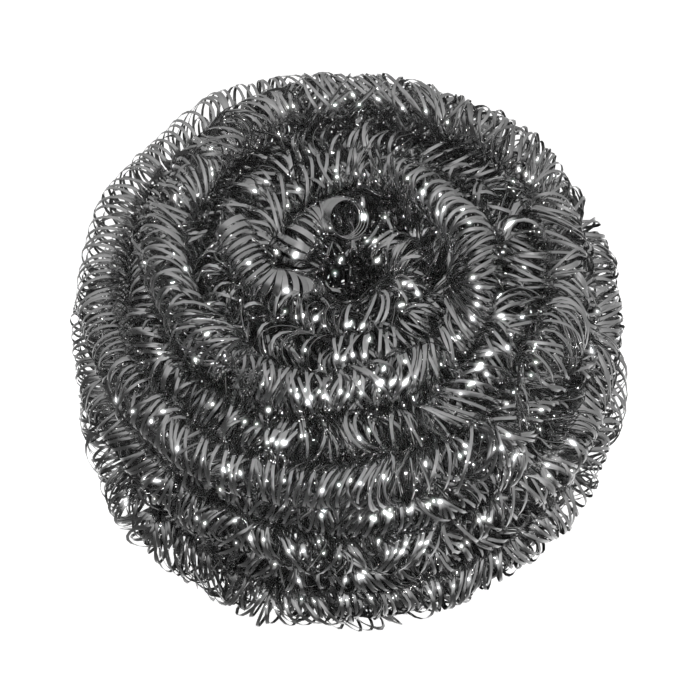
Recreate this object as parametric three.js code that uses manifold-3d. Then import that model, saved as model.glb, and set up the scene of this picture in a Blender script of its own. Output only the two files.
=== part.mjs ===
// A stainless steel wool pad: one long coil of flat steel ribbon, laid double and wound turn beside
// turn into a squat round pad. Both its ends are tucked into a hollow in the middle of the top.
// Millimetres, +Z up. The origin is the middle of the footprint, on the plane that the pad rests on.

import * as THREE from 'three';
import { mergeVertices } from 'three/addons/utils/BufferGeometryUtils.js';
import Module from 'manifold-3d';

// Driving dimensions: millimetres, unless the comment gives a count, a power or an angle

const PAD_DIAMETER = 80;
const PAD_HEIGHT = 49;
const SHOULDER_SQUARENESS = 4; // power of the upper side's curve: 2 is an ellipse, more is squarer
const FOOT_SQUARENESS = 6; // the same for the lower side
const COIL_TURNS = 7; // count of double turns from the middle of the top to the middle of the base
const COIL_DIAMETER = 7; // across the loops of the coil
const STRAND_GROOVE_DEPTH = 3.8; // from the upper strand's crest to the groove beside the lower strand
const TURN_GROOVE_DEPTH = 5.4; // from the upper strand's crest to the groove between double turns
const UPPER_STRAND_SHARE = 0.54; // of the width of a double turn, which the lower strand shares
const STRAND_STEP = 4.8; // from the crest of the upper strand down to the crest of the lower one
const STRAND_LIFT = 3.6; // how much of that step is lost where the lower strand is pushed up
const LIFT_ANGLE = -72; // degrees round the pad where it is pushed up most
const LIFT_SHARPNESS = 2.5; // power: more keeps the lift closer to that angle
const STRAND_FULLNESS = 3; // power of the curve of a strand's back: 2 is a parabola, more is squarer
const TURN_WANDER = 1; // how far a turn strays sideways
const WANDERS_PER_TURN = 1.62; // count of sideways swings in a turn
const START_ANGLE = -60; // degrees round the pad where the first turn begins
const LOOPS_ROUND_WAIST = 64; // count of loops in a turn at the widest place
const LOOP_RELIEF = 1; // between the high and the low side of a leaning loop
const DIMPLE_DEPTH = 7;
const DIMPLE_RADIUS = 13;
const POLE_RADIUS = 4; // of the small closed middle inside the first turn and inside the last
const BASE_FLATTENING = 2.4; // how much the lowest turns are pressed flat
const TUCKED_END_DIAMETER = 5.8; // across the tight loops at each end of the coil
const MOUTH_DIAMETER = 4.2; // of the open hole in a tucked end
const MOUTH_DEPTH = 4;
const TUCKED_END_SEAT = 1.2; // how far a tucked end is pressed in below the grooves that it lies across

// What follows from them

const coilRadius = COIL_DIAMETER / 2;
const strandGrooveRaised = coilRadius - STRAND_GROOVE_DEPTH; // of the grooves above the coil's middle
const turnGrooveRaised = coilRadius - TURN_GROOVE_DEPTH;
const halfWidth = PAD_DIAMETER / 2 - coilRadius;
const halfHeight = (PAD_HEIGHT + BASE_FLATTENING) / 2 - coilRadius;
const middleHeight = PAD_HEIGHT - coilRadius - halfHeight;

// The path of the coil's middle from the top of the pad to its base, seen in section

const PROFILE_STEPS = 120;
const LENGTH_STEPS = 960; // for measuring along it

function profilePoint(angle) {
  const isUpper = angle < Math.PI / 2;
  const power = isUpper ? SHOULDER_SQUARENESS : FOOT_SQUARENESS;
  const across = Math.sin(angle) / halfWidth;
  const up = Math.abs(Math.cos(angle)) / halfHeight;
  const reach = (across ** power + up ** power) ** (-1 / power);
  const radius = reach * Math.sin(angle);
  const dimple = isUpper ? DIMPLE_DEPTH * Math.exp(-((radius / DIMPLE_RADIUS) ** 2)) : 0;
  return new THREE.Vector2(radius, middleHeight + reach * Math.cos(angle) - dimple);
}

const profilePoints = [];
for (let step = 0; step <= PROFILE_STEPS; step += 1) {
  profilePoints.push(profilePoint((Math.PI * step) / PROFILE_STEPS));
}
const profile = new THREE.SplineCurve(profilePoints);
profile.arcLengthDivisions = LENGTH_STEPS;
const profileLength = profile.getLength();

// A point of the pad's skin: round the pad by an angle, along the profile from the top, and raised
// above the coil's middle. Nothing reaches below the plane that the pad rests on.
function skinPoint(angle, along, raised) {
  const share = along / profileLength;
  const middle = profile.getPointAt(share);
  const direction = profile.getTangentAt(share);
  const radius = middle.x - direction.y * raised;
  const height = middle.y + direction.x * raised;
  return new THREE.Vector3(radius * Math.cos(angle), radius * Math.sin(angle), Math.max(height, 0));
}

// The groove between neighbouring double turns is one spiral, clockwise seen from above. It begins
// and ends as a closed ring, so the first and the last turn taper out of it and into it. Turns are
// counted from 0.

const turnSpacing = (profileLength - 2 * POLE_RADIUS) / COIL_TURNS;
const lastTurn = COIL_TURNS + 1;

function angleAt(turn) {
  return THREE.MathUtils.degToRad(START_ANGLE) - 2 * Math.PI * turn;
}

function grooveAlong(turn) {
  const turnsOut = THREE.MathUtils.clamp(turn - 1, 0, COIL_TURNS);
  const fade = Math.sin((Math.PI * turnsOut) / COIL_TURNS);
  const stray = TURN_WANDER * fade * Math.sin(2 * Math.PI * WANDERS_PER_TURN * turn);
  return POLE_RADIUS + turnSpacing * turnsOut + stray;
}

function groovePoint(turn) {
  return skinPoint(angleAt(turn), grooveAlong(turn), turnGrooveRaised);
}

// How far the crest of the lower strand lies below the crest of the upper one at an angle
function strandStep(angle) {
  const nearness = (1 + Math.cos(angle - THREE.MathUtils.degToRad(LIFT_ANGLE))) / 2;
  return STRAND_STEP - STRAND_LIFT * nearness ** LIFT_SHARPNESS;
}

// A point on a double turn: across is 0 in the groove before it and 1 in the groove after it, with
// the upper strand first. A strand's back is arched, or hollow where the lower strand lies below the
// grooves, and lean tips it to one side, as a loop of the coil leans.
function turnPoint(turn, across, lean) {
  const before = grooveAlong(turn);
  const after = grooveAlong(turn + 1);
  const angle = angleAt(turn);
  const isUpper = across <= UPPER_STRAND_SHARE;
  const share = isUpper
    ? across / UPPER_STRAND_SHARE
    : (across - UPPER_STRAND_SHARE) / (1 - UPPER_STRAND_SHARE);
  const crest = isUpper ? coilRadius : coilRadius - strandStep(angle);
  const towardsTurnGroove = isUpper ? 1 - share : share;
  const foot = THREE.MathUtils.lerp(strandGrooveRaised, turnGrooveRaised, towardsTurnGroove);
  const arch = 1 - Math.abs(2 * share - 1) ** STRAND_FULLNESS;
  const back = THREE.MathUtils.lerp(foot, crest, arch);
  const tip = lean * LOOP_RELIEF * (share - 0.5) * 2 * Math.sqrt(arch);
  const fullness = (after - before) / turnSpacing;
  const raised = THREE.MathUtils.lerp(turnGrooveRaised, back + tip, fullness);
  return skinPoint(angle, before + (after - before) * across, raised);
}

// Places along the coil, in turns, two to a loop, closer in angle where the turns are wide

const FEWEST_LOOPS = 4; // in the narrowest turns

function placesAlongCoil() {
  const places = [];
  for (let turn = 0; turn <= lastTurn; turn += 1) {
    const radius = profile.getPointAt(grooveAlong(turn + 0.5) / profileLength).x;
    const loops = Math.max(FEWEST_LOOPS, Math.round((LOOPS_ROUND_WAIST * radius) / halfWidth));
    for (let half = 0; half < 2 * loops; half += 1) {
      places.push(turn + half / (2 * loops));
    }
  }
  places.push(lastTurn + 1);
  return places;
}

// The wound body as one closed skin

// Shares of a double turn's width where it has points: the upper strand's back, the groove between
// the two strands, and the lower strand's back
const UPPER_ACROSS = [0.25, 0.5, 0.75, 1].map((share) => share * UPPER_STRAND_SHARE);
const LOWER_ACROSS = [0.3, 0.7].map((share) => UPPER_STRAND_SHARE + share * (1 - UPPER_STRAND_SHARE));
const ACROSS = [...UPPER_ACROSS, ...LOWER_ACROSS];

function woundBody() {
  const places = placesAlongCoil();
  const vertices = [];
  const triangles = [];

  function addVertex(point) {
    vertices.push(point.x, point.y, point.z);
    return vertices.length / 3 - 1;
  }

  function addTriangle(a, b, c) {
    if (a !== b && b !== c && c !== a) {
      triangles.push(a, b, c);
    }
  }

  // Joins two lines of points that run the same way, the first nearer the middle of the top
  function addStrip(near, far) {
    let i = 0;
    let j = 0;
    while (i < near.length - 1 || j < far.length - 1) {
      const nearNext = i < near.length - 1 ? near[i + 1].turn : Infinity;
      const farNext = j < far.length - 1 ? far[j + 1].turn : Infinity;
      if (farNext <= nearNext) {
        addTriangle(near[i].vertex, far[j + 1].vertex, far[j].vertex);
        j += 1;
      } else {
        addTriangle(near[i].vertex, near[i + 1].vertex, far[j].vertex);
        i += 1;
      }
    }
  }

  // The groove, whose first and last turn close on themselves
  const groove = [];
  const ringStarts = new Map();
  for (const turn of places) {
    const closes = turn === 1 || turn === lastTurn + 1;
    const vertex = closes ? ringStarts.get(turn - 1) : addVertex(groovePoint(turn));
    ringStarts.set(turn, vertex);
    groove.push({ turn, vertex });
  }

  // The backs of the turns, from the point where the first begins to the point where the last ends
  const coilPlaces = groove.filter((place) => place.turn <= lastTurn);
  const backs = ACROSS.map((across) =>
    coilPlaces.map(({ turn, vertex }, count) => {
      const tapered = turn === 0 || turn === lastTurn;
      const lean = count % 2 === 0 ? 1 : -1;
      return { turn, vertex: tapered ? vertex : addVertex(turnPoint(turn, across, lean)) };
    }),
  );
  const nextGroove = groove
    .filter((place) => place.turn >= 1)
    .map(({ turn, vertex }) => ({ turn: turn - 1, vertex }));
  const lines = [coilPlaces, ...backs, nextGroove];
  for (let line = 0; line + 1 < lines.length; line += 1) {
    addStrip(lines[line], lines[line + 1]);
  }

  // The two small middles
  const topMiddle = addVertex(skinPoint(0, 0, turnGrooveRaised));
  const baseMiddle = addVertex(skinPoint(0, profileLength, turnGrooveRaised));
  const firstRing = groove.filter((place) => place.turn <= 1);
  const lastRing = groove.filter((place) => place.turn >= lastTurn);
  for (let k = 0; k + 1 < firstRing.length; k += 1) {
    addTriangle(topMiddle, firstRing[k + 1].vertex, firstRing[k].vertex);
  }
  for (let k = 0; k + 1 < lastRing.length; k += 1) {
    addTriangle(baseMiddle, lastRing[k].vertex, lastRing[k + 1].vertex);
  }

  const geometry = new THREE.BufferGeometry();
  geometry.setAttribute('position', new THREE.Float32BufferAttribute(vertices, 3));
  geometry.setIndex(triangles);
  return geometry;
}

// A tucked end: a tight, round stretch of coil along a short curve, with an open mouth

const TUBE_SIDES = 10;
const TUBE_STEPS = 14;
const MOUTH_STEPS = 2;

function roundSection(diameter) {
  const corners = [];
  for (let side = 0; side < TUBE_SIDES; side += 1) {
    const angle = (2 * Math.PI * side) / TUBE_SIDES;
    corners.push(new THREE.Vector2(Math.cos(angle), Math.sin(angle)).multiplyScalar(diameter / 2));
  }
  return new THREE.Shape(corners);
}

function tubeAlong(points, diameter, steps) {
  const extrudePath = new THREE.CatmullRomCurve3(points);
  const geometry = new THREE.ExtrudeGeometry(roundSection(diameter), { steps, extrudePath });
  geometry.deleteAttribute('normal');
  geometry.deleteAttribute('uv');
  return mergeVertices(geometry);
}

// A place in the dimple: how far out it is in dimple radii, its angle in degrees, and how many of its
// own diameters a tucked end runs above its usual seat there
function tuckedPoint([out, degrees, lift]) {
  const angle = THREE.MathUtils.degToRad(degrees);
  const seat = strandGrooveRaised - TUCKED_END_SEAT + TUCKED_END_DIAMETER / 2;
  const raised = seat + lift * TUCKED_END_DIAMETER;
  return skinPoint(angle, out * DIMPLE_RADIUS, raised);
}

// The routes of the two ends, each from where it comes out of the pad to its mouth
const TUCKED_ENDS = [
  [
    [0.56, 151, -1.3],
    [0.64, 154, -0.6],
    [0.7, 141, -0.15],
    [0.74, 118, -0.15],
    [0.74, 101, 0],
    [0.66, 89, 0.65],
  ],
  [
    [0.1, 16, -1.3],
    [0.15, 208, -0.8],
    [0.48, 202, -0.3],
    [0.84, 207, 0],
    [1.11, 195, 0],
    [1.42, 167, 0.1],
  ],
];

const wasm = await Module();
wasm.setup();

function solidOf(geometry) {
  const mesh = new wasm.Mesh({
    numProp: 3,
    vertProperties: new Float32Array(geometry.getAttribute('position').array),
    triVerts: new Uint32Array(geometry.getIndex().array),
  });
  return new wasm.Manifold(mesh);
}

function withTuckedEnd(body, route) {
  const points = route.map(tuckedPoint);
  const tip = points[points.length - 1];
  const outward = tip.clone().sub(points[points.length - 2]).normalize();
  const mouth = [
    tip.clone().addScaledVector(outward, -MOUTH_DEPTH),
    tip.clone(),
    tip.clone().addScaledVector(outward, MOUTH_DEPTH),
  ];
  const end = solidOf(tubeAlong(points, TUCKED_END_DIAMETER, TUBE_STEPS));
  const hole = solidOf(tubeAlong(mouth, MOUTH_DIAMETER, MOUTH_STEPS));
  return body.add(end.subtract(hole));
}

function padGeometry() {
  const solid = TUCKED_ENDS.reduce(withTuckedEnd, solidOf(woundBody()));
  const mesh = solid.getMesh();
  const geometry = new THREE.BufferGeometry();
  geometry.setAttribute('position', new THREE.Float32BufferAttribute(mesh.vertProperties, 3));
  geometry.setIndex(new THREE.Uint32BufferAttribute(mesh.triVerts, 1));
  geometry.computeBoundingBox();
  const centre = geometry.boundingBox.getCenter(new THREE.Vector3());
  geometry.translate(-centre.x, -centre.y, 0);
  geometry.computeVertexNormals();
  return geometry;
}

// The object

const steel = new THREE.MeshStandardMaterial({ color: 0x85868a, roughness: 0.35, metalness: 1 });

const pad = new THREE.Mesh(padGeometry(), steel);
pad.name = 'steel_wool_pad';

const object = new THREE.Group();
object.add(pad);

export default object;
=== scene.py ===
"""A stainless steel wool pad: a long coil of flat ribbon, laid double and wound into a squat round pad."""

import math
from typing import NamedTuple

import bpy
import numpy as np
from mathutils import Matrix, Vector


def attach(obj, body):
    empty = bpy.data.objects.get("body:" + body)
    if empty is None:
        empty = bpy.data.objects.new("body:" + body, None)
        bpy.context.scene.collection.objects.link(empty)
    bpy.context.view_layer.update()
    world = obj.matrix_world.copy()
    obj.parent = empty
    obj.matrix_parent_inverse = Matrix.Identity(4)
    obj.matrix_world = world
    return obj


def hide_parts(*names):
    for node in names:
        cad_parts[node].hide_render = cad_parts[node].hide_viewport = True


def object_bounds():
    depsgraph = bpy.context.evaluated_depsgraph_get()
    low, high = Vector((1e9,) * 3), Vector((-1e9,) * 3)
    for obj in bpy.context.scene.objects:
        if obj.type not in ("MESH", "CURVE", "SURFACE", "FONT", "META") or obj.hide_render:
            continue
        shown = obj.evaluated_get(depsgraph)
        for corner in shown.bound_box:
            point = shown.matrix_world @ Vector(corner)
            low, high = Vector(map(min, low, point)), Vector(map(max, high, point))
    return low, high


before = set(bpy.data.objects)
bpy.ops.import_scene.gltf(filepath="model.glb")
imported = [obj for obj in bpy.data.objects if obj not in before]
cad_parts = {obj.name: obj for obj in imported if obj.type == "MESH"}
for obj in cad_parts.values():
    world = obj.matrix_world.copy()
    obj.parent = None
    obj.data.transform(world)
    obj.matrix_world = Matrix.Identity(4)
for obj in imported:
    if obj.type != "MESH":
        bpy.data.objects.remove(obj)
CAD_LOW, CAD_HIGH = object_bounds()

NODE = "steel_wool_pad"
MM = 0.001

# The pad's form, in millimetres and degrees, as in the solid that it replaces

PAD_DIAMETER = 80
PAD_HEIGHT = 49
SHOULDER_SQUARENESS = 4
FOOT_SQUARENESS = 6
COIL_TURNS = 7
COIL_RADIUS = 3.5
UPPER_STRAND_SHARE = 0.54  # of the width of a double turn
STRAND_STEP = 4.8  # how much lower the lower strand lies
STRAND_LIFT = 3.6  # how far it is lifted again on one side
LIFT_ANGLE = -72
LIFT_SHARPNESS = 2.5
TURN_WANDER = 1
WANDERS_PER_TURN = 1.62
START_ANGLE = -60
DIMPLE_DEPTH = 7
DIMPLE_RADIUS = 13
POLE_RADIUS = 4
BASE_FLATTENING = 2.4
TUCKED_END_RADIUS = 2.9
TUCKED_END_SEAT = 1.4  # how far a tucked end's middle lies above the coil's middle path

HALF_WIDTH = PAD_DIAMETER / 2 - COIL_RADIUS
HALF_HEIGHT = (PAD_HEIGHT + BASE_FLATTENING) / 2 - COIL_RADIUS
MIDDLE_HEIGHT = PAD_HEIGHT - COIL_RADIUS - HALF_HEIGHT

# The ribbon's own sizes, in millimetres

RIBBON_WIDTH = 0.46
TUCKED_RIBBON_WIDTH = 0.92
RIBBON_THICKNESS = 0.05
RIBBON_CUP = 0.015  # how far its edges lie back from its middle
FLOOR_CLEARANCE = 0.05

# What the functions below hand to each other


class Profile(NamedTuple):
    """The path of a coil's middle from the top to the base in section, with its outward normal."""

    along: np.ndarray
    radius: np.ndarray
    height: np.ndarray
    normal_out: np.ndarray
    normal_up: np.ndarray


class Route(NamedTuple):
    """A line that a coil is wound along: length so far, places, and three directions at each."""

    along: np.ndarray
    place: np.ndarray
    forward: np.ndarray
    outward: np.ndarray
    sideways: np.ndarray


class Winding(NamedTuple):
    """How a ribbon is wound along a route: sizes in millimetres, and how irregular its loops are."""

    half_width: float
    half_depth: float
    pitch: float
    steps: int  # ribbon segments in a loop
    jumble: float  # 0 is a tidy spring, 1 is a tangle
    sway: float = 0  # how far the whole coil strays from its route
    stray_share: float = 0  # of loops that stand out from the rest
    stray_reach: float = 0  # how far they do, in loop radii
    width: float = RIBBON_WIDTH
    shingle: float = 0  # angle by which each loop lies over the next one, in radians


def unit(vectors):
    return vectors / np.linalg.norm(vectors, axis=1, keepdims=True)


def eased(values, place):
    """The list's values at fractional places, with smooth steps between neighbours."""
    low = np.clip(place.astype(int), 0, len(values) - 2)
    share = np.clip(place - low, 0, 1)
    share = share * share * (3 - 2 * share)
    return values[low] * (1 - share) + values[low + 1] * share


def drifting(rng, count, reach):
    """Normal random values that change slowly: neighbours within reach are alike."""
    knots = rng.normal(0, 1, int(count / reach) + 3)
    return eased(knots, np.arange(count) / reach)


# Routes

PROFILE_STEPS = 4000
STEPS_PER_TURN = 400
LAST_TURNS = 0.55  # how far a strand runs on past the last whole turn
END_DIVE = 3.5  # how far below the skin a strand begins, in millimetres
END_DIVE_TURNS = 0.25
BED_DEPTH = 3  # how far the upper strand is pressed down where the tucked ends lie on it
BED_TURN = 1.44
BED_TURNS = 0.11


def profile(inset):
    """The pad's profile, this far inside the path of the outer coil."""
    angle = np.linspace(0, math.pi, PROFILE_STEPS)
    power = np.where(angle < math.pi / 2, SHOULDER_SQUARENESS, FOOT_SQUARENESS)
    across = np.sin(angle) / (HALF_WIDTH - inset)
    up = np.abs(np.cos(angle)) / (HALF_HEIGHT - inset)
    reach = (across**power + up**power) ** (-1 / power)
    radius = reach * np.sin(angle)
    depth = DIMPLE_DEPTH * np.exp(-((radius / DIMPLE_RADIUS) ** 2)) * (1 - inset / HALF_HEIGHT)
    height = MIDDLE_HEIGHT + reach * np.cos(angle) - np.where(angle < math.pi / 2, depth, 0)
    along = np.concatenate([[0], np.cumsum(np.hypot(np.diff(radius), np.diff(height)))])
    return Profile(along, radius, height, -np.gradient(height, along), np.gradient(radius, along))


def skin_point(section, angle, along, raised):
    """Places round the pad, along its profile and raised above it, with the outward directions there."""
    normal_out = np.interp(along, section.along, section.normal_out)
    normal_up = np.interp(along, section.along, section.normal_up)
    radius = np.interp(along, section.along, section.radius) + normal_out * raised
    height = np.interp(along, section.along, section.height) + normal_up * raised
    place = np.stack([radius * np.cos(angle), radius * np.sin(angle), height], 1)
    outward = np.stack([normal_out * np.cos(angle), normal_out * np.sin(angle), normal_up], 1)
    return place, outward


def groove_along(section, turn):
    """How far along the profile the groove between double turns lies: one spiral, closed at its ends."""
    spacing = (section.along[-1] - 2 * POLE_RADIUS) / COIL_TURNS
    turns_out = np.clip(turn - 1, 0, COIL_TURNS)
    fade = np.sin(np.pi * turns_out / COIL_TURNS)
    stray = TURN_WANDER * fade * np.sin(2 * np.pi * WANDERS_PER_TURN * turn)
    return POLE_RADIUS + spacing * turns_out + stray


def strand_route(inset, first_turn, across, is_upper, dive=END_DIVE):
    """The route of one strand of the doubled coil, from the top of the pad to its base."""
    section = profile(inset)
    turn = np.linspace(first_turn, COIL_TURNS + LAST_TURNS, STEPS_PER_TURN * COIL_TURNS)
    angle = math.radians(START_ANGLE) - 2 * np.pi * turn
    before = groove_along(section, turn)
    after = groove_along(section, turn + 1)
    along = before + (after - before) * across
    lifted = ((1 + np.cos(angle - math.radians(LIFT_ANGLE))) / 2) ** LIFT_SHARPNESS
    bed = BED_DEPTH * np.exp(-(((turn - BED_TURN) / BED_TURNS) ** 2))
    raised = -bed if is_upper else STRAND_LIFT * lifted - STRAND_STEP
    raised -= dive * np.exp(-(((turn - turn[0]) / END_DIVE_TURNS) ** 2))
    return route_of(*skin_point(section, angle, along, raised))


def route_of(place, outward):
    forward = unit(np.gradient(place, axis=0))
    sideways = unit(np.cross(forward, outward))
    outward = np.cross(sideways, forward)
    steps = np.linalg.norm(np.diff(place, axis=0), axis=1)
    along = np.concatenate([[0], np.cumsum(steps)])
    return Route(along, place, forward, outward, sideways)


def at(route, along):
    """The route's place and its three directions at these lengths along it."""
    found = []
    for field in route[1:]:
        found.append(np.stack([np.interp(along, route.along, column) for column in field.T], 1))
    place, forward, outward, sideways = found
    return place, unit(forward), unit(outward), unit(sideways)


# Loops of ribbon: where they are looser, closer together or flatter

TANGLED_SIDE = (0.5, 0.6, 0.62)  # the way the most tangled part of the pad faces
TANGLE = 0.5  # how much looser the loops there are
TIDY_SIDE = (0.1, -0.95, 0.3)
TIDINESS = 0.55  # how much less loose the loops there are
STRETCH = 0.7  # how much wider they are spaced
BASE_TURN_HEIGHT = 6  # in millimetres
BASE_LEAN = -1  # how far the loops of the lowest turns lie over along the coil, as a slope
BASE_CROWDING = 0.65  # how much closer together they are, as a share
BASE_SOFTNESS = 0.5  # over how many millimetres they are pressed flat

# How far the loops differ from each other in a tangle, and over how many loops the difference drifts

LOOSE_SPREAD = 0.25
LOOSE_REACH = 14
BUNCHING = 0.4  # of the spaces between loops
BUNCH_REACH = 4
GROUP_SPREAD = 0.85  # how far the loops of a group differ together
LOOP_SPREAD = 0.45  # how far each loop differs by itself
GROUP_REACH = 6
SWAY_REACH = 9
LONG_SWAY = 1.5  # as a share of the shorter sway
LONG_SWAY_REACH = 45
SWAY_RISE = 0.5  # up and down, as a share of the sway sideways
SHORTEST_STRAY = 0.2  # as a share of the reach of the longest
STRAY_RISE = 0.5  # of a stray loop's middle, as a share of its extra reach
SIZE_SPREAD = 0.16  # of a loop's half width and half depth, as a share
RISE_SPREAD = 0.3  # of its middle, in millimetres
SHIFT_SPREAD = 0.6  # of its middle sideways, in millimetres
LEAN_SPREAD = 0.9  # of its slope along the coil, from its bottom to its top
SLANT_SPREAD = 1  # of its slope along the coil, from side to side
ROLL_SPREAD = 0.6  # of the ribbon about its own length, in radians
KINK_SPREAD = 0.12
KINKS_PER_LOOP = 4


def looseness(facing):
    """How loose loops that face these ways are, as a factor."""
    tangled = np.maximum(facing @ np.array(TANGLED_SIDE), 0)
    tidy = np.maximum(facing @ np.array(TIDY_SIDE), 0)
    return 1 + TANGLE * tangled - TIDINESS * tidy


def low_down(height):
    """How far these heights belong to the lowest turns, from 0 to 1."""
    return np.exp(-((np.maximum(height, 0) / BASE_TURN_HEIGHT) ** 2))


def pressed(height):
    """Heights flattened softly against the plane that the pad rests on."""
    above = np.log1p(np.exp((height - RIBBON_WIDTH / 2) / BASE_SOFTNESS))
    return FLOOR_CLEARANCE + RIBBON_WIDTH / 2 + BASE_SOFTNESS * above


def spaced_loops(route, winding, rng):
    """How loose each loop along a route is, and how far along the route each one ends."""
    loops = int(route.along[-1] / winding.pitch)
    loose = winding.jumble * np.exp(LOOSE_SPREAD * drifting(rng, loops + 1, LOOSE_REACH))
    middles, _, facing, _ = at(route, np.linspace(0, route.along[-1], loops + 1))
    loose *= looseness(facing)
    bunched = BUNCHING * drifting(rng, loops, BUNCH_REACH) + BUNCHING * rng.normal(0, 1, loops)
    advance = np.exp(np.minimum(loose[1:], 1) * bunched)
    stretched = np.maximum(facing[1:] @ np.array(TIDY_SIDE), 0)
    at_base = low_down(middles[1:, 2])
    advance *= (1 + STRETCH * stretched * (1 - at_base)) * (1 - BASE_CROWDING * at_base)
    ends = np.concatenate([[0], np.cumsum(advance)])
    ends *= route.along[-1] / ends[-1]
    return loose, ends


def wound_ribbon(route, winding, seed):
    """The four corner lines of a ribbon that is wound along a route, as an array of rings."""
    rng = np.random.default_rng(seed)
    loose, ends = spaced_loops(route, winding, rng)
    loops = len(ends) - 1
    phase = np.arange(loops * winding.steps + 1) / winding.steps

    def irregular(spread):
        in_groups = GROUP_SPREAD * drifting(rng, loops + 1, GROUP_REACH)
        in_groups = in_groups + LOOP_SPREAD * rng.normal(0, 1, loops + 1)
        return eased(spread * loose * in_groups, phase)

    def kinked(spread):
        kinks = rng.normal(0, 1, KINKS_PER_LOOP * loops + 2)
        return spread * eased(loose, phase) * eased(kinks, phase * KINKS_PER_LOOP)

    def swaying():
        short_sway = drifting(rng, loops + 1, SWAY_REACH)
        long_sway = LONG_SWAY * drifting(rng, loops + 1, LONG_SWAY_REACH)
        return eased(winding.sway * (short_sway + long_sway), phase)

    stray = rng.random(loops + 1) < winding.stray_share
    reach = eased(1 + stray * rng.uniform(SHORTEST_STRAY, 1, loops + 1) * winding.stray_reach, phase)
    along = np.interp(phase, np.arange(loops + 1), ends)
    place, forward, outward, sideways = at(route, along)
    turn = 2 * np.pi * phase
    up = winding.half_depth * reach * (1 + irregular(SIZE_SPREAD)) * np.cos(turn)
    across = winding.half_width * reach * (1 + irregular(SIZE_SPREAD)) * np.sin(turn)
    up_shift = irregular(RISE_SPREAD) + SWAY_RISE * swaying()
    up_shift = up_shift + (reach - 1) * winding.half_depth * STRAY_RISE
    across_shift = irregular(SHIFT_SPREAD) + swaying()
    lean = (np.tanh(irregular(LEAN_SPREAD)) + BASE_LEAN * low_down(place[:, 2])) * up
    lean += np.tanh(irregular(SLANT_SPREAD)) * across
    middle = (
        place
        + outward * (up + up_shift)[:, None]
        + sideways * (across + across_shift)[:, None]
        + forward * lean[:, None]
    )
    middle[:, 2] = pressed(middle[:, 2])
    roll = winding.shingle + irregular(ROLL_SPREAD) + kinked(KINK_SPREAD)
    return ribbon_rings(middle, forward, roll[:, None], winding.width)


def ribbon_rings(middle, forward, roll, width):
    """The corners of a ribbon along its middle line, its width along the coil apart from a roll."""
    run = unit(np.gradient(middle, axis=0))
    level = unit(forward - run * np.sum(forward * run, axis=1, keepdims=True))
    upright = np.cross(run, level)
    half_wide = (level * np.cos(roll) + upright * np.sin(roll)) * width / 2
    half_thin = (upright * np.cos(roll) - level * np.sin(roll)) * RIBBON_THICKNESS / 2
    corners = [
        middle - half_wide - half_thin,
        middle + half_wide - half_thin,
        middle + half_wide + half_thin,
        middle - half_wide + half_thin,
    ]
    rings = np.stack(corners, 1)
    rings[:, :, 2] = np.maximum(rings[:, :, 2], FLOOR_CLEARANCE)
    return rings


# Meshes


def ribbon_faces(count):
    """Four sides between each ring of four corners and the next, and a face at each end."""
    first = 4 * np.arange(count - 1)[:, None]
    side = np.arange(4)[None, :]
    next_side = (side + 1) % 4
    quads = np.stack([first + side, first + next_side, first + 4 + next_side, first + 4 + side], 2)
    last = 4 * (count - 1)
    ends = np.array([[3, 2, 1, 0], [last, last + 1, last + 2, last + 3]])
    return np.concatenate([quads.reshape(-1, 4), ends])


def ribbon_mesh(name, rings, material):
    """A closed strip with four sides and two ends, riding on the pad's one body."""
    vertices = rings.reshape(-1, 3) * MM
    faces = ribbon_faces(len(rings))
    mesh = bpy.data.meshes.new(name)
    mesh.vertices.add(len(vertices))
    mesh.vertices.foreach_set("co", vertices.astype(np.float32).ravel())
    mesh.loops.add(faces.size)
    mesh.loops.foreach_set("vertex_index", faces.astype(np.int32).ravel())
    mesh.polygons.add(len(faces))
    mesh.polygons.foreach_set("loop_start", 4 * np.arange(len(faces), dtype=np.int32))
    mesh.update(calc_edges=True)
    round_lengthwise(mesh)
    add_ribbon_coordinates(mesh, rings)
    mesh.materials.append(material)
    piece = bpy.data.objects.new(name, mesh)
    bpy.context.scene.collection.objects.link(piece)
    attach(piece, "root")
    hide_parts(NODE)


def round_lengthwise(mesh):
    """Smooth shading along the ribbon, with its four long edges left sharp."""
    mesh.polygons.foreach_set("use_smooth", np.ones(len(mesh.polygons), bool))
    edges = np.empty(2 * len(mesh.edges), np.int32)
    mesh.edges.foreach_get("vertices", edges)
    edges = edges.reshape(-1, 2)
    lengthwise = np.abs(edges[:, 0] - edges[:, 1]) == 4
    sharp = mesh.attributes.new("sharp_edge", "BOOLEAN", "EDGE")
    sharp.data.foreach_set("value", lengthwise)


def add_ribbon_coordinates(mesh, rings):
    """Where each point lies on its ribbon: millimetres along it, millimetres across, and share across."""
    middle = rings.mean(axis=1)
    steps = np.linalg.norm(np.diff(middle, axis=0), axis=1)
    along = np.concatenate([[0], np.cumsum(steps)])
    width = np.linalg.norm(rings[:, 1] - rings[:, 0], axis=1)
    places = np.zeros((len(rings), 4, 3), np.float32)
    places[:, :, 0] = along[:, None]
    places[:, 1:3, 1] = width[:, None]
    places[:, 1:3, 2] = 1
    attribute = mesh.attributes.new("ribbon", "FLOAT_VECTOR", "POINT")
    attribute.data.foreach_set("vector", places.ravel())


# Materials

STREAKS = (0.4, 9, 0)  # to a millimetre, along the ribbon and across it
STREAK_RANGE = (0.3, 0.7)  # of the noise that makes them
STEEL_ROUGHNESS = (0.05, 0.12)
PATCHES = 0.12  # to a millimetre
PATCH_RANGE = (0.3, 0.7)
# The outer ribbons keep the steel's own tones. The ribbons inside the pad get a darker copy of the same
# steel: painted shade for the little light that reaches in there.
BRIGHT_TONES = (0.52, 0.72)
INSIDE_SHADE_TONES = (0.4, 0.54)


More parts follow.
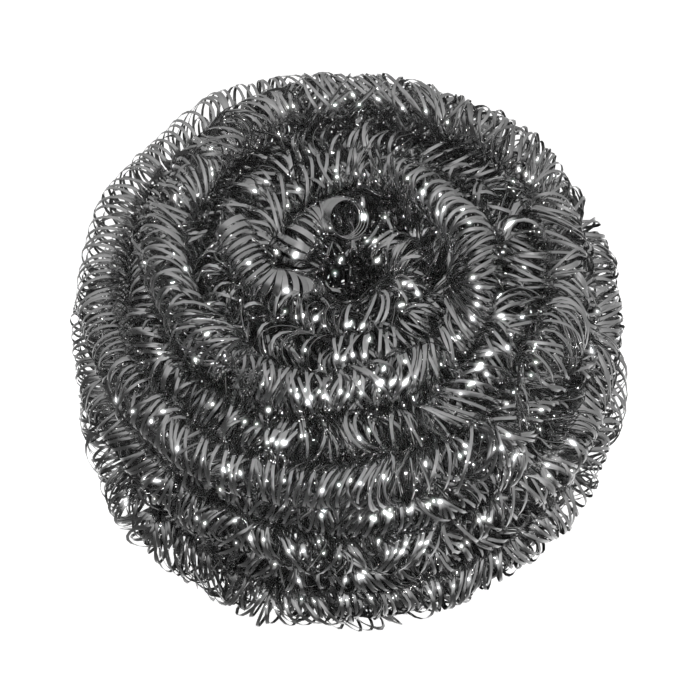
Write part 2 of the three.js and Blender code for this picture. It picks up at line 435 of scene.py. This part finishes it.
def steel(name, tones):
    """Rolled steel: streaked along the ribbon, slightly hollow across it, and darker in patches."""
    material = bpy.data.materials.new(name)
    material.use_nodes = True
    nodes = material.node_tree.nodes
    link = material.node_tree.links.new
    shader = nodes["Principled BSDF"]
    shader.inputs["Metallic"].default_value = 1
    place = nodes.new("ShaderNodeAttribute")
    place.attribute_name = "ribbon"

    stretched = nodes.new("ShaderNodeMapping")
    stretched.inputs["Scale"].default_value = STREAKS
    link(place.outputs["Vector"], stretched.inputs["Vector"])
    streaks = nodes.new("ShaderNodeTexNoise")
    streaks.inputs["Scale"].default_value = 1
    streaks.inputs["Detail"].default_value = 3
    link(stretched.outputs["Vector"], streaks.inputs["Vector"])
    gloss = nodes.new("ShaderNodeMapRange")
    gloss.inputs["From Min"].default_value = STREAK_RANGE[0]
    gloss.inputs["From Max"].default_value = STREAK_RANGE[1]
    gloss.inputs["To Min"].default_value = STEEL_ROUGHNESS[0]
    gloss.inputs["To Max"].default_value = STEEL_ROUGHNESS[1]
    link(streaks.outputs["Fac"], gloss.inputs["Value"])
    link(gloss.outputs["Result"], shader.inputs["Roughness"])

    parts = nodes.new("ShaderNodeSeparateXYZ")
    link(place.outputs["Vector"], parts.inputs["Vector"])
    off_middle = nodes.new("ShaderNodeMath")
    off_middle.operation = "SUBTRACT"
    off_middle.inputs[1].default_value = 0.5
    link(parts.outputs["Z"], off_middle.inputs[0])
    cup = nodes.new("ShaderNodeMath")
    cup.operation = "MULTIPLY"
    link(off_middle.outputs["Value"], cup.inputs[0])
    link(off_middle.outputs["Value"], cup.inputs[1])
    bump = nodes.new("ShaderNodeBump")
    bump.invert = True
    bump.inputs["Distance"].default_value = 4 * RIBBON_CUP * MM
    link(cup.outputs["Value"], bump.inputs["Height"])
    link(bump.outputs["Normal"], shader.inputs["Normal"])

    patches = nodes.new("ShaderNodeTexNoise")
    patches.inputs["Scale"].default_value = PATCHES
    patches.inputs["Detail"].default_value = 4
    link(place.outputs["Vector"], patches.inputs["Vector"])
    ramp = nodes.new("ShaderNodeValToRGB")
    for stop, position, tone in zip(ramp.color_ramp.elements, PATCH_RANGE, tones):
        stop.position = position
        stop.color = (tone, tone, tone, 1)
    link(patches.outputs["Fac"], ramp.inputs["Fac"])
    link(ramp.outputs["Color"], shader.inputs["Base Color"])
    return material


def pale():
    """The stage's near-white, which glows enough to show only a trace of shade."""
    material = bpy.data.materials.new("pale_stage")
    material.use_nodes = True
    shader = material.node_tree.nodes["Principled BSDF"]
    shader.inputs["Base Color"].default_value = (0.5, 0.5, 0.5, 1)
    shader.inputs["Roughness"].default_value = 0.9
    shader.inputs["Specular IOR Level"].default_value = 0
    shader.inputs["Emission Color"].default_value = (1, 1, 1, 1)
    shader.inputs["Emission Strength"].default_value = 0.95
    return material


# The coil: two strands at the skin, looser turns inside, and the two tucked ends

UPPER = Winding(
    half_width=3.2, half_depth=3.4, pitch=0.78, steps=20, jumble=0.68,
    sway=0.55, stray_share=0.012, stray_reach=0.3,
)
LOWER = Winding(
    half_width=3, half_depth=3.4, pitch=0.82, steps=20, jumble=0.72,
    sway=0.55, stray_share=0.01, stray_reach=0.3,
)
CORE = Winding(half_width=2.6, half_depth=2.7, pitch=1.1, steps=16, jumble=1, sway=0.3)
INNER = Winding(half_width=3.6, half_depth=3, pitch=1.6, steps=14, jumble=1.2, sway=0.5)
TUCKED = Winding(
    half_width=TUCKED_END_RADIUS, half_depth=TUCKED_END_RADIUS, pitch=0.93, steps=26, jumble=0.1,
    width=TUCKED_RIBBON_WIDTH, shingle=-0.3,
)

UPPER_MIDDLE = UPPER_STRAND_SHARE / 2
LOWER_MIDDLE = (1 + UPPER_STRAND_SHARE) / 2
UPPER_FIRST_TURN = 0.7
LOWER_FIRST_TURN = 0.72
CORE_FIRST_TURN = 0.8
INNER_FIRST_TURN = 0.1
LOWER_CORE_INSET = 0.3
INNER_INSETS = (3.5, 7, 11, 15)

# The routes of the tucked ends, each from where it comes out of the pad to its mouth: how far out in
# dimple radii, the angle in degrees, and how many of its own diameters it runs above its seat
TUCKED_ENDS = [
    [
        (0.56, 151, -1.3),
        (0.64, 154, -0.6),
        (0.7, 141, -0.15),
        (0.74, 118, -0.15),
        (0.74, 101, 0),
        (0.66, 89, 0.65),
    ],
    [
        (0.1, 16, -2.2),
        (0.15, 208, -1.5),
        (0.48, 202, -0.45),
        (0.84, 207, 0),
        (1.11, 195, 0),
        (1.42, 167, 0.1),
    ],
]
TUCKED_STEPS = 40  # between neighbouring places of such a route


def smooth_line(points, steps):
    """A smooth line through the points, with this many steps between neighbours."""
    padded = np.concatenate([[2 * points[0] - points[1]], points, [2 * points[-1] - points[-2]]])
    line = []
    for a, b, c, d in zip(padded, padded[1:], padded[2:], padded[3:]):
        for share in np.arange(steps) / steps:
            bend = 2 * a - 5 * b + 4 * c - d
            twist = 3 * b - a - 3 * c + d
            line.append(b + 0.5 * share * (c - a + share * (bend + share * twist)))
    line.append(points[-1])
    return np.array(line)


def tucked_route(stations):
    """The route of a tucked end, with an outward direction that is carried along it without a twist."""
    section = profile(0)
    out, degrees, lift = np.array(stations).T
    raised = TUCKED_END_SEAT + lift * 2 * TUCKED_END_RADIUS
    points, _ = skin_point(section, np.radians(degrees), out * DIMPLE_RADIUS, raised)
    line = smooth_line(points, TUCKED_STEPS)
    forward = unit(np.gradient(line, axis=0))
    outward = [np.cross(forward[0], (1, 0, 0))]
    for direction in forward[1:]:
        carried = outward[-1] - direction * np.dot(outward[-1], direction)
        outward.append(carried / np.linalg.norm(carried))
    return route_of(line, np.array(outward))


def build_strand(name, route, winding, seed, material):
    """A strand from the top of the pad to its base, in two lengths that meet half-way."""
    rings = wound_ribbon(route, winding, seed)
    half = len(rings) // 2
    ribbon_mesh(name + "_top", rings[: half + 1], material)
    ribbon_mesh(name + "_base", rings[half:], material)


def build_strands(material):
    route = strand_route(0, UPPER_FIRST_TURN, UPPER_MIDDLE, is_upper=True)
    build_strand("upper_strand", route, UPPER, seed=1, material=material)
    route = strand_route(0, LOWER_FIRST_TURN, LOWER_MIDDLE, is_upper=False)
    build_strand("lower_strand", route, LOWER, seed=2, material=material)


def build_inside(material):
    """The ribbon inside the two strands, and the turns in the middle of the pad."""
    route = strand_route(0, CORE_FIRST_TURN, UPPER_MIDDLE, is_upper=True)
    ribbon_mesh("upper_strand_core", wound_ribbon(route, CORE, seed=8), material)
    route = strand_route(LOWER_CORE_INSET, CORE_FIRST_TURN, LOWER_MIDDLE, is_upper=False)
    ribbon_mesh("lower_strand_core", wound_ribbon(route, CORE, seed=9), material)
    for layer, inset in enumerate(INNER_INSETS):
        route = strand_route(inset, INNER_FIRST_TURN, across=0.5, is_upper=True, dive=0)
        ribbon_mesh(f"inner_coil_{layer + 1}", wound_ribbon(route, INNER, seed=3 + layer), material)


def build_tucked_ends(material):
    for count, stations in enumerate(TUCKED_ENDS):
        rings = wound_ribbon(tucked_route(stations), TUCKED, seed=10 + count)
        ribbon_mesh(f"tucked_end_{count + 1}", rings, material)


bright_steel = steel("bright_ribbon", BRIGHT_TONES)
# The inner turns and the strand cores get the darker copy of the steel: painted shade.
inside_shade_steel = steel("painted_shade_ribbon", INSIDE_SHADE_TONES)
build_strands(bright_steel)
build_inside(inside_shade_steel)
build_tucked_ends(bright_steel)

# Floor and backdrop, in metres

FLOOR_SIZE = 40
BACKDROP_RADIUS = 3
BACKDROP_HEIGHT = 4


def add_floor(material):
    bpy.ops.mesh.primitive_plane_add(size=FLOOR_SIZE)
    floor = bpy.context.object
    floor.name = "floor"
    floor.data.materials.append(material)
    floor.visible_glossy = False


def add_backdrop(material):
    """A pale wall far round the pad, seen above the floor in low views, that keeps no light out."""
    bpy.ops.mesh.primitive_cylinder_add(
        radius=BACKDROP_RADIUS, depth=BACKDROP_HEIGHT, end_fill_type="NOTHING"
    )
    backdrop = bpy.context.object
    backdrop.name = "backdrop"
    backdrop.data.materials.append(material)
    backdrop.visible_glossy = False
    backdrop.visible_diffuse = False
    backdrop.visible_shadow = False


# Room light

# Brightness by the sine of the elevation, from straight down to straight up
ROOM = [
    (-1, 0.95),
    (-0.85, 0.85),
    (-0.5, 0.45),
    (-0.1, 0.33),
    (0.3, 0.34),
    (0.6, 0.38),
    (0.85, 0.46),
    (1, 0.52),
]
DARK_SIDE = (-0.58, -0.8, -0.15)  # towards the unlit side of the room
DARK_SIDE_REACH = (-0.05, 0.5)  # cosines where the darkness begins and where it is full
DARK_SIDE_LIGHT = 0.22
SOFT_BOX = (0, -0.73, 0.68)  # towards the middle of a soft light on the camera's side
SOFT_BOX_REACH = (0.75, 1)  # cosines where its light begins and where it is full
SOFT_BOX_LIGHT = 0.55


def add_room_light():
    """A grey room that is lightest below, with a dark side and a soft box."""
    world = bpy.data.worlds.new("studio")
    bpy.context.scene.world = world
    world.use_nodes = True
    nodes = world.node_tree.nodes
    link = world.node_tree.links.new
    direction = nodes.new("ShaderNodeTexCoord")

    parts = nodes.new("ShaderNodeSeparateXYZ")
    link(direction.outputs["Generated"], parts.inputs["Vector"])
    height = nodes.new("ShaderNodeMapRange")
    height.inputs["From Min"].default_value = -1
    link(parts.outputs["Z"], height.inputs["Value"])
    ramp = nodes.new("ShaderNodeValToRGB")
    link(height.outputs["Result"], ramp.inputs["Fac"])
    stops = ramp.color_ramp.elements
    while len(stops) < len(ROOM):
        stops.new(0.5)
    for stop, (sine, light) in zip(stops, ROOM):
        stop.position = (sine + 1) / 2
        stop.color = (light, light, light, 1)

    def graded(side, reach, outside, inside):
        """A strength that changes softly from one value to another towards a side of the room."""
        facing = nodes.new("ShaderNodeVectorMath")
        facing.operation = "DOT_PRODUCT"
        facing.inputs[1].default_value = side
        link(direction.outputs["Generated"], facing.inputs[0])
        grade = nodes.new("ShaderNodeMapRange")
        grade.interpolation_type = "SMOOTHSTEP"
        grade.inputs["From Min"].default_value = reach[0]
        grade.inputs["From Max"].default_value = reach[1]
        grade.inputs["To Min"].default_value = outside
        grade.inputs["To Max"].default_value = inside
        link(facing.outputs["Value"], grade.inputs["Value"])
        return grade.outputs["Result"]

    room = nodes["Background"]
    link(ramp.outputs["Color"], room.inputs["Color"])
    link(graded(DARK_SIDE, DARK_SIDE_REACH, 1, DARK_SIDE_LIGHT), room.inputs["Strength"])
    soft_box = nodes.new("ShaderNodeBackground")
    link(graded(SOFT_BOX, SOFT_BOX_REACH, 0, SOFT_BOX_LIGHT), soft_box.inputs["Strength"])
    both = nodes.new("ShaderNodeAddShader")
    link(room.outputs["Background"], both.inputs[0])
    link(soft_box.outputs["Background"], both.inputs[1])
    link(both.outputs["Shader"], nodes["World Output"].inputs["Surface"])


# Flash and camera, in metres and degrees

PAD_MIDDLE = Vector((0, 0, (CAD_LOW.z + CAD_HIGH.z) / 2))
FLASH_WIDTH = 0.08
FLASH_HEIGHT = 0.045
FLASH_SPREAD = 16
FLASH_POWER = 0.03
FLASH_DISTANCE = 0.2
FLASH_ELEVATION = 43
SHOULDER_ELEVATION = 44  # of the place on the pad that the flash shines on
CAMERA_ELEVATION = 57
CAMERA_DISTANCE = 1.2
CAMERA_REACH = 10  # how far it sees
SENSOR_WIDTH = 36  # in millimetres
PIXELS_PER_MM = 6.9  # at the pad's middle
PHOTO_WIDTH = 700
PAD_MIDDLE_PIXEL = (348, 335)


def aim(thing, target):
    thing.rotation_euler = (target - thing.location).to_track_quat("-Z", "Y").to_euler()


def in_front(elevation, distance):
    """A place on the photograph's side of the pad, this far from its middle."""
    rise = math.radians(elevation)
    return PAD_MIDDLE + distance * Vector((0, -math.cos(rise), math.sin(rise)))


def add_flash():
    """An oval lamp close in front of the pad, with a narrow beam, that makes the round glints."""
    lamp = bpy.data.lights.new("flash", "AREA")
    lamp.shape = "ELLIPSE"
    lamp.size = FLASH_WIDTH
    lamp.size_y = FLASH_HEIGHT
    lamp.spread = math.radians(FLASH_SPREAD)
    lamp.energy = FLASH_POWER
    holder = bpy.data.objects.new("flash", lamp)
    bpy.context.scene.collection.objects.link(holder)
    holder.location = in_front(FLASH_ELEVATION, FLASH_DISTANCE)
    holder.visible_camera = False
    aim(holder, in_front(SHOULDER_ELEVATION, PAD_DIAMETER / 2 * MM))


def add_camera():
    """A camera that shows the pad's middle at the same pixel and scale as the photograph does."""
    camera = bpy.data.cameras.new("camera")
    camera.sensor_width = SENSOR_WIDTH
    camera.lens = SENSOR_WIDTH * CAMERA_DISTANCE / (PHOTO_WIDTH / PIXELS_PER_MM * MM)
    camera.shift_x = 0.5 - PAD_MIDDLE_PIXEL[0] / PHOTO_WIDTH
    camera.shift_y = PAD_MIDDLE_PIXEL[1] / PHOTO_WIDTH - 0.5
    camera.clip_end = CAMERA_REACH
    holder = bpy.data.objects.new("camera", camera)
    bpy.context.scene.collection.objects.link(holder)
    holder.location = in_front(CAMERA_ELEVATION, CAMERA_DISTANCE)
    aim(holder, PAD_MIDDLE)
    bpy.context.scene.camera = holder


# Glow

GLOW_THRESHOLD = 1.2
GLOW_MAXIMUM = 12
GLOW_SIZE = 0.006


def add_glow():
    """A faint glow round the brightest glints, as a lens gives them."""
    scene = bpy.context.scene
    scene.use_nodes = True
    nodes = scene.node_tree.nodes
    link = scene.node_tree.links.new
    nodes.clear()
    picture = nodes.new("CompositorNodeRLayers")
    glow = nodes.new("CompositorNodeGlare")
    glow.glare_type = "BLOOM"
    glow.quality = "HIGH"
    glow.inputs["Threshold"].default_value = GLOW_THRESHOLD
    glow.inputs["Clamp"].default_value = True
    glow.inputs["Maximum"].default_value = GLOW_MAXIMUM
    glow.inputs["Strength"].default_value = 1
    glow.inputs["Size"].default_value = GLOW_SIZE
    result = nodes.new("CompositorNodeComposite")
    link(picture.outputs["Image"], glow.inputs["Image"])
    link(glow.outputs["Image"], result.inputs["Image"])


stage_material = pale()
add_floor(stage_material)
add_backdrop(stage_material)
add_room_light()
add_flash()
add_camera()
add_glow()
bpy.context.scene.view_settings.view_transform = "Standard"
